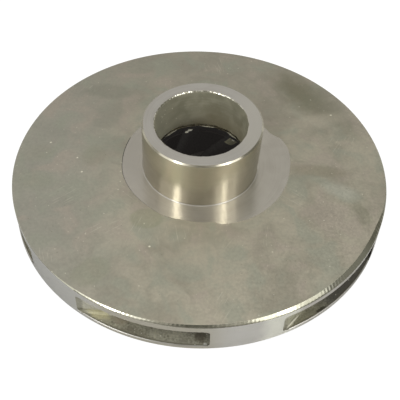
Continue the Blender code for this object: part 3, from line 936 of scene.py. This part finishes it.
def backShroud(materials):
    cast, rim, turned, filed = range(len(materials))
    angles = columnAngles(casting["segments"])
    joint = casting["hubJoint"]
    floorRadii = joint + (rimRadius - joint) * np.linspace(0.0, 1.0, back["rows"])
    floorRows = [(r, floorAt(r)) for r in floorRadii]
    edge = [(rimRadius, floorRows[-1][1] - 0.0001)]
    edge += line(edge[0], (rimRadius, backFace + back["rimChamfer"]), 4)
    edge += [(rimRadius - back["rimChamfer"], backFace)]
    face = line(edge[-1], (joint, backFace), 24)
    profile = floorRows + edge + face
    radius, height = spin(profile, angles)
    broken = brokenEdge(angles, back["edgeBreak"])
    radius[len(floorRows) - 1] -= broken
    height[len(floorRows)] = floorRows[-1][1] - broken
    grid = place(radius, height, angles)
    for row in range(1, len(floorRows) - 1):
        calm = float(smooth(rimRadius, rimRadius - 0.003, profile[row][0]))
        grid[row, :, 2] += back["waveHeight"] * calm * waves(grid[row], *back["waves"])
    rowMaterial = [cast] * (len(floorRows) - 1) + [filed] + [rim] * (len(edge) - 2) + [filed]
    rowMaterial += [turned] * len(face) + [cast]
    piece = turnedPiece("backShroud", grid, materials, rowMaterial[:len(profile)])
    return hangOn(piece, "turned_back", "back_shroud")


# Hub
boss = {
    "radius": 0.0260, "fillet": 0.0030, "shaft": 0.0127, "chamfer": 0.0010,
    "keyWidth": 0.00635, "keyDepth": 0.0030, "edgeRound": 0.0004,
}


def hub(materials):
    cast, turned = range(len(materials))
    angles = columnAngles(casting["segments"] // 2)
    shaft, chamfer, joint = boss["shaft"], boss["chamfer"], casting["hubJoint"]
    fillet = (boss["radius"] + boss["fillet"], backFace - boss["fillet"])
    nose = casting["noseRadius"]
    slope = [(nose - boss["edgeRound"], noseHeight), (nose, floorAt(nose + 0.0004))]
    slope += [(r, floorAt(r)) for r in np.linspace(nose + 0.001, joint, 16)]
    under = [(joint, backFace)] + arcPoints(fillet, boss["fillet"], 90, 180, 8)
    under += line(under[-1], (boss["radius"], boss["edgeRound"]), 3)
    under += [(boss["radius"] - boss["edgeRound"], 0.0), (shaft + chamfer, 0.0)]
    bore = [(shaft, chamfer), (shaft, noseHeight - chamfer), (shaft + chamfer, noseHeight)]
    profile = slope + under + bore
    radius, height = spin(profile, angles)
    rowMaterial = [cast] * (len(slope) - 1) + [turned] * (len(profile) - len(slope) + 1)
    piece = turnedPiece("hub", place(radius, height, angles), materials, rowMaterial)
    bpy.ops.mesh.primitive_cube_add(size=1.0)
    key = bpy.context.active_object
    reach = shaft + boss["keyDepth"]
    key.dimensions = (boss["keyWidth"], reach, 2 * noseHeight)
    key.location = (0.0, reach / 2, noseHeight / 2)
    bpy.ops.object.transform_apply(location=True, rotation=True, scale=True)
    cut = piece.modifiers.new("keyway", "BOOLEAN")
    cut.operation = "DIFFERENCE"
    cut.object = key
    cut.solver = "EXACT"
    bpy.context.view_layer.update()
    cutMesh = bpy.data.meshes.new_from_object(piece.evaluated_get(bpy.context.evaluated_depsgraph_get()))
    piece.modifiers.clear()
    piece.data = cutMesh
    cutMesh.name = "hub"
    bpy.data.objects.remove(key)
    cutMesh.set_sharp_from_angle(angle=sharpFrom)
    return hangOn(piece, "bored_steel", "hub")


# Camera, floor and light
cameraSet = {
    "elevation": math.radians(46.25), "distance": 4.131,    # in rim radii
    "focal": 769.34, "picture": 400,                        # in pixels
    "aim": (0.0053, -0.2673), "roll": math.radians(1.921),
}


def camera():
    data = bpy.data.cameras.new("camera")
    data.sensor_width = 36.0
    data.lens = 36.0 * cameraSet["focal"] / cameraSet["picture"]
    data.clip_start, data.clip_end = 0.01, 20.0
    obj = addObject("camera", data)
    e, away = cameraSet["elevation"], cameraSet["distance"] * rimRadius
    eye = Vector((0.0, -away * math.cos(e), landHeight + away * math.sin(e)))
    aim = Vector((cameraSet["aim"][0] * rimRadius, cameraSet["aim"][1] * rimRadius, landHeight))
    forward = (aim - eye).normalized()
    right = forward.cross(Vector((0, 0, 1))).normalized()
    up = right.cross(forward)
    c, s = math.cos(cameraSet["roll"]), math.sin(cameraSet["roll"])
    right, up = right * c + up * s, up * c - right * s
    turn = Matrix((right, up, -forward)).transposed().to_4x4()
    obj.matrix_world = Matrix.Translation(eye) @ turn
    bpy.context.scene.camera = obj


# Azimuths are from the camera's side, to the right. Each lamp: azimuth, elevation, distance, the width and
# height it spans in degrees, and its radiance
lamps = {
    "leftBox": (-52, 40, 1.05, 42, 26, 1.0),
    "leftPanel": (-47, 40, 1.02, 18, 26, 0.5),
    "leftStrip": (-43, 40, 1.0, 8, 26, 7.2),
    "rightBox": (51.5, 39, 1.05, 32, 28, 1.65),
    "rightPanel": (41, 40, 1.02, 15, 26, 0.6),
    "rightStrip": (48, 40, 1.0, 5, 26, 5.8),
    "leftLow": (-106, 12, 1.05, 32, 15, 0.45),     # for the pale lines on the neck's edge
    "farRight": (138, 12, 1.05, 24, 16, 0.7),
    "rightFill": (92, 50, 1.05, 30, 18, 0.14),
}
studioSet = {
    "lampColour": (0.985, 1.0, 1.0),
    "low": (0.43, 0.43, 0.415), "high": (0.66, 0.65, 0.62),
    "floor": (0.72, 0.72, 0.72), "floorGlow": 1.3, "floorGlowShare": 0.72,
}
# darker places in the room: azimuth, elevation, cosines of the edge's and the core's reach, colour
roomShades = {
    "camera": (3, 28, 0.91, 0.98, (0.29, 0.288, 0.27)),
    "lens": (0, 42, 0.984, 0.996, (0.15, 0.15, 0.135)),
    "doorway": (94, 19, 0.92, 0.965, (0.19, 0.19, 0.165)),
    "corner": (134, 48, 0.89, 0.97, (0.4, 0.41, 0.38)),
}


def direction(azimuth, elevation):
    a, e = math.radians(azimuth), math.radians(elevation)
    return Vector((math.sin(a) * math.cos(e), -math.cos(a) * math.cos(e), math.sin(e)))


def addLamp(name, azimuth, elevation, distance, width, height, radiance):
    data = bpy.data.lights.new(name, "AREA")
    data.shape = "RECTANGLE"
    data.size = 2 * distance * math.tan(math.radians(width / 2))
    data.size_y = 2 * distance * math.tan(math.radians(height / 2))
    data.energy = radiance * math.pi * data.size * data.size_y
    data.color = studioSet["lampColour"]
    obj = addObject(name, data)
    obj.location = direction(azimuth, elevation) * distance
    obj.rotation_euler = (-obj.location).to_track_quat("-Z", "Y").to_euler()


def paleFloor():
    bpy.ops.mesh.primitive_plane_add(size=12.0, location=(0, 0, 0))
    floor = bpy.context.active_object
    floor.name = "floor"
    material, tree, sockets = newFinish("paleFloor", metallic=0.0)
    feed(tree, sockets["Base Color"], studioSet["floor"])
    sockets["Roughness"].default_value = 0.9
    seen = tree.nodes.new("ShaderNodeLightPath").outputs["Is Camera Ray"]
    glow = node(tree, "Emission", {"Color": (1, 1, 1), "Strength": studioSet["floorGlow"]})
    share = times(tree, seen, studioSet["floorGlowShare"])
    lit = tree.nodes["Principled BSDF"].outputs[0]
    mixed = node(tree, "MixShader", {0: share, 1: lit, 2: glow.outputs[0]})
    feed(tree, tree.nodes["Material Output"].inputs["Surface"], mixed.outputs[0])
    floor.data.materials.append(material)


def paleRoom():
    world = bpy.data.worlds.new("studio")
    bpy.context.scene.world = world
    world.use_nodes = True
    tree = world.node_tree
    toward = tree.nodes.new("ShaderNodeTexCoord").outputs["Generated"]
    up = parts(tree, toward)[2]
    colour = tint(tree, fade(tree, up, 0.15, 0.95), studioSet["low"], studioSet["high"])
    for azimuth, elevation, edge, core, shade in roomShades.values():
        feeds = {0: toward, 1: tuple(direction(azimuth, elevation))}
        facing = node(tree, "VectorMath", feeds, operation="DOT_PRODUCT").outputs["Value"]
        colour = tint(tree, fade(tree, facing, edge, core), colour, shade)
    seen = tree.nodes.new("ShaderNodeLightPath").outputs["Is Camera Ray"]
    colour = tint(tree, seen, colour, (1.0, 1.0, 1.0))
    feed(tree, tree.nodes["Background"].inputs["Color"], colour)


camera()
paleFloor()
paleRoom()
for lampName, lamp in lamps.items():
    addLamp(lampName, *lamp)
bpy.context.scene.view_settings.view_transform = "Standard"
print("camera, floor and lamps are set")

groundFace = groundFaceFinish()
turnedNeck = turnedFinish("turnedNeck")
turnedLand = turnedFinish("turnedLand", landPlaces)
turnedEnd = turnedFinish("turnedEnd", endPlaces)
turnedRim = turnedFinish("turnedRim", rimPlaces)
turnedBack = turnedFinish("turnedBack")
chatteredChamfer = chamferFinish()
filedEdge = brokenEdgeFinish()
filmedBore = boreFinish()
castSkin, vaneSkin, paintedLightNose, shavedNoseGlint, caughtEdge = (castFinish(name) for name in scales)
print("finishes are made")

suctionNeck([turnedNeck, turnedLand, turnedEnd, filedEdge, filmedBore, vaneSkin, caughtEdge])
print("suction neck is made")
frontShroud([turnedLand, groundFace, chatteredChamfer, turnedRim, castSkin])
print("front shroud is made")
for number in range(vane["count"]):
    castVane(number, [vaneSkin, turnedRim, paintedLightNose, shavedNoseGlint])
print("vanes are made")
backShroud([castSkin, turnedRim, turnedBack, turnedEnd])
hub([castSkin, turnedBack])
print("back shroud and hub are made")
